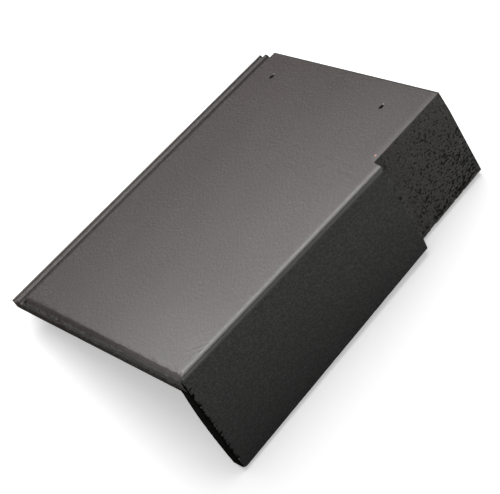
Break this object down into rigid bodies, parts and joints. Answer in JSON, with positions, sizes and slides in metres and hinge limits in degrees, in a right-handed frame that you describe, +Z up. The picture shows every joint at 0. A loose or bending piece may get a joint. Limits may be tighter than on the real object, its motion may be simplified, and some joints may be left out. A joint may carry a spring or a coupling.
{
  "type": "cloaked verge tile",
  "caption": "Flat interlocking concrete verge tile, right-hand, with a stepped underlock and a tapering down-turned cloak.",
  "frame": {"origin": "centre of the tile's bounding box, at floor level, with the tile lying unheld", "axes": "+Y from the tail to the head, +X from the underlock to the cloak, +Z up; the deck leans 16.6 degrees down to the underlock and 2.7 degrees down to the head"},
  "size_m": [0.3602, 0.4256, 0.1364],
  "materials": {
    "coated_concrete": "smooth satin coating on the deck and cloak, raw porous concrete on the recess and cut ends"
  },
  "bodies": {
    "root": {"verge_tile": "coated_concrete"}
  },
  "joints": []
}
